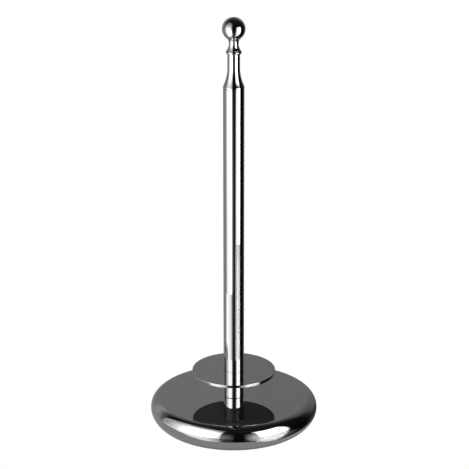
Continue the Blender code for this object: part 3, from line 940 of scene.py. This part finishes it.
def finial_outline():
    """From the top of the ball down the outside to the spigot, and up into the socket."""
    neck_top = BALL_CENTRE - BALL_RADIUS * math.cos(math.radians(40))
    bead_top, bead_foot = BEAD_CENTRE + BEAD_SIZE, BEAD_CENTRE - BEAD_SIZE
    spigot_end = bottom_of("finial")
    points = arc((0.0, BALL_CENTRE), (BALL_RADIUS, BALL_RADIUS), 88, -47, 60)
    points += [(neck_radius(h), h) for h in reversed(between(bead_top + BEAD_CLEAR, neck_top, 36))]
    bead_reach = STEM_RADIUS + BEAD_PROUD - BEAD_SIZE
    points += arc((bead_reach, BEAD_CENTRE), (BEAD_SIZE, BEAD_SIZE), 66, -66, 18)
    fillet = (BEAD_FILLET, BEAD_FILLET_RISE)
    points += arc((STEM_RADIUS + BEAD_FILLET, bead_foot - BREAK), fillet, 120, 180, 4)
    points += [(STEM_RADIUS, bead_foot - STEM_START)]
    flare_top = JOINT_HEIGHT + COLLAR_BAND + FLARE_HEIGHT
    flare = between(JOINT_HEIGHT + COLLAR_BAND, flare_top, 30)
    points += [(collar_radius(h), h) for h in reversed(flare)]
    points += [(COLLAR_RADIUS, JOINT_HEIGHT + COLLAR_BAND - COLLAR_EDGE)]
    points += [(COLLAR_RADIUS, JOINT_HEIGHT + BREAK), (COLLAR_RADIUS - BREAK, JOINT_HEIGHT)]
    points += [(SPIGOT_RADIUS, JOINT_HEIGHT), (SPIGOT_RADIUS, spigot_end + SPIGOT_CHAMFER)]
    points += [(SPIGOT_RADIUS - SPIGOT_CHAMFER, spigot_end), (ROD_HOLE, spigot_end)]
    points += [(ROD_HOLE, spigot_end + SOCKET_DEPTH), (SOCKET_POLE, spigot_end + SOCKET_DEPTH)]
    return points


print("ball", round(2 * BALL_RADIUS / MM, 1), "mm across over a waist of",
      round(2 * WAIST_RADIUS / MM, 1), "mm")

# %% Turn the finial
finial = turn("ball_finial", finial_outline(), closed=False, pole=True)
dress(finial, "finial_knob", "finial", chrome_finial)

# %% [markdown]
# ## Tie rod
# One steel rod holds everything together: a nut under the base pulls on it, and the finial screws
# down onto its top.  Both ends carry a right-hand thread of 1 mm pitch, which shows when the finial
# is taken off.  The rod is turned with a thinner core at its ends.  Each thread is a triangle swept
# up a helix by the Screw modifier and closed at its ends.  A bump pattern would be cheaper, but the
# outline of a bump stays smooth, and a thread is known by its outline.

# %% Rod and threads
PITCH = 1.0 * MM
CORE_RADIUS = 2.42 * MM
RIDGE_REACH = 0.56 * MM
RIDGE_HALF_WIDTH = 0.46 * MM
ROD_LOW, ROD_HIGH = bottom_of("tie_rod"), top_of("tie_rod")
LOW_THREAD_END = ROD_LOW + 10.5 * MM
HIGH_THREAD_START = ROD_HIGH - 24.5 * MM
RIDGE_SINK = 0.02 * MM
RIDGE_STEPS = 32
THREAD_INSET = 0.3 * MM
PATTERN_RADIUS = 1.0 * MM


def rod_outline():
    """A plain shank with a thinner, chamfered core at each end."""
    tip = 0.5 * MM
    step = 0.3 * MM
    points = [(CORE_RADIUS - tip, ROD_HIGH), (CORE_RADIUS, ROD_HIGH - tip)]
    points += [(CORE_RADIUS, HIGH_THREAD_START), (ROD_RADIUS, HIGH_THREAD_START - step)]
    points += [(ROD_RADIUS, LOW_THREAD_END + step), (CORE_RADIUS, LOW_THREAD_END)]
    points += [(CORE_RADIUS, ROD_LOW + tip), (CORE_RADIUS - tip, ROD_LOW)]
    return points


def thread(name, start, turns):
    """A closed triangular ridge that climbs one pitch a turn from the height start."""
    deselect()
    bpy.ops.mesh.primitive_circle_add(vertices=3, radius=PATTERN_RADIUS,
                                      rotation=(math.pi / 2, math.pi / 2, 0.0))
    ridge = bpy.context.object
    ridge.name = name
    bpy.ops.object.transform_apply(location=True, rotation=True, scale=True)
    bpy.ops.object.mode_set(mode="EDIT")
    bpy.ops.mesh.select_all(action="SELECT")
    reach = RIDGE_REACH / (1.5 * PATTERN_RADIUS)
    rise = RIDGE_HALF_WIDTH / (math.sin(math.pi / 3) * PATTERN_RADIUS)
    bpy.ops.transform.resize(value=(reach, 1.0, rise), center_override=(0.0, 0.0, 0.0))
    middle = CORE_RADIUS - RIDGE_SINK + RIDGE_REACH / 3
    bpy.ops.transform.translate(value=(middle, 0.0, start + PITCH / 2))
    bpy.ops.object.mode_set(mode="OBJECT")
    climb = ridge.modifiers.new("climb", "SCREW")
    climb.axis = "Z"
    climb.screw_offset = PITCH
    climb.iterations = turns
    climb.steps = climb.render_steps = RIDGE_STEPS
    bpy.ops.object.modifier_apply(modifier=climb.name)
    bpy.ops.object.mode_set(mode="EDIT")
    bpy.ops.mesh.select_all(action="SELECT")
    bpy.ops.mesh.fill_holes(sides=3)
    bpy.ops.mesh.normals_make_consistent(inside=False)
    bpy.ops.object.mode_set(mode="OBJECT")
    return ridge


def join(whole, *parts):
    """Joins other pieces into one, keeping the first one's name."""
    deselect()
    for part in parts:
        part.select_set(True)
    whole.select_set(True)
    bpy.context.view_layer.objects.active = whole
    bpy.ops.object.join()


rod = turn("threaded_rod", rod_outline(), vertices=48, closed=False, pole=True)
low_turns = int((LOW_THREAD_END - ROD_LOW) / PITCH) - 1
high_turns = int((ROD_HIGH - HIGH_THREAD_START) / PITCH) - 1
low_thread = thread("low_thread", ROD_LOW + THREAD_INSET, low_turns)
high_thread = thread("high_thread", HIGH_THREAD_START + THREAD_INSET, high_turns)
join(rod, low_thread, high_thread)
bpy.ops.object.shade_smooth_by_angle(angle=EDGE_ANGLE)
dress(rod, "stand", "tie_rod", zinc_plate)
print("threads of", low_turns, "and", high_turns, "turns")

# %% [markdown]
# ## Feet
# The feet are moulded rubber pads stuck under the plate.  The mould rounds their edges, and a ring
# groove in the sole lets them grip.  A cylinder with a Bevel modifier would have the rounds but no
# groove, so a foot is turned like the rest.  It is made at the middle and copied to the four
# places, each copy with its own mesh.

# %% Rubber feet
FOOT_ROUND = 0.5 * MM
GROOVE_INNER = 2.6 * MM
GROOVE_OUTER = 3.6 * MM
GROOVE_DEPTH = 0.3 * MM
GROOVE_SLOPE = 0.2 * MM
FOOT_POLE = 1.0 * MM
FOOT_TAPER = 0.7 * MM


def foot_outline(top_radius, sole_radius, height):
    """A tapered pad from the middle of its top to the middle of its sole, past the groove."""
    corner = (FOOT_ROUND, FOOT_ROUND)
    points = [(FOOT_POLE, height), (top_radius - 2 * FOOT_ROUND, height)]
    points += arc((top_radius - FOOT_ROUND, height - FOOT_ROUND), corner, 90, 0, 6)
    points += arc((sole_radius - FOOT_ROUND, FOOT_ROUND), corner, 0, -90, 6)
    points += [(GROOVE_OUTER, 0.0), (GROOVE_OUTER - GROOVE_SLOPE, GROOVE_DEPTH)]
    points += [(GROOVE_INNER + GROOVE_SLOPE, GROOVE_DEPTH), (GROOVE_INNER, 0.0)]
    points += [(FOOT_POLE, 0.0)]
    return points


def place_copy(pattern, name, place):
    """A copy of a piece with its own mesh, moved to a place and left at the origin."""
    deselect()
    pattern.select_set(True)
    bpy.context.view_layer.objects.active = pattern
    bpy.ops.object.duplicate(linked=False)
    copy = bpy.context.object
    copy.name = name
    copy.data.name = name
    copy.location = place
    bpy.ops.object.transform_apply(location=True, rotation=True, scale=True)
    return copy


foot_low, foot_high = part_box("foot_1")
foot_radius = (foot_high.x - foot_low.x) / 2
foot_shape = foot_outline(foot_radius, foot_radius - FOOT_TAPER, foot_high.z)
pattern = turn("foot_pattern", foot_shape, vertices=64, closed=False, pole=True)
for number in (1, 2, 3, 4):
    low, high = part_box(f"foot_{number}")
    middle = ((low.x + high.x) / 2, (low.y + high.y) / 2, 0.0)
    foot = place_copy(pattern, f"rubber_foot_{number}", middle)
    dress(foot, "stand", f"foot_{number}", black_rubber)
deselect()
pattern.select_set(True)
bpy.ops.object.delete()
print("four feet, radius", round(foot_radius / MM, 2), "mm")

# %% [markdown]
# ## Hidden pieces
# The fasteners, bushes, washers, weight and bottom plate keep the shapes of the frame, which are
# whole already.  They are hidden in use, so a finish is all that they need.

# %% Finishes for the pieces of the frame
FRAME_FINISHES = {
    "base_weight": painted_iron,
    "bottom_plate": zinc_plate,
    "rod_washer": zinc_plate,
    "lock_washer": zinc_plate,
    "rod_nut": zinc_plate,
    "disc_sleeve": zinc_plate,
    "spacer_lower_bush": zinc_plate,
    "spacer_upper_bush": zinc_plate,
    "tube_lower_bush": zinc_plate,
    "tube_upper_bush": zinc_plate,
    "lower_thrust_washer": natural_nylon,
    "upper_thrust_washer": natural_nylon,
    "finial_washer": natural_nylon,
}
FRAME_FINISHES.update({f"plate_screw_{i}": zinc_plate for i in (1, 2, 3)})
for node, material in FRAME_FINISHES.items():
    put_on(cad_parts[node], material)
print(len(FRAME_FINISHES), "pieces of the frame have their finish")
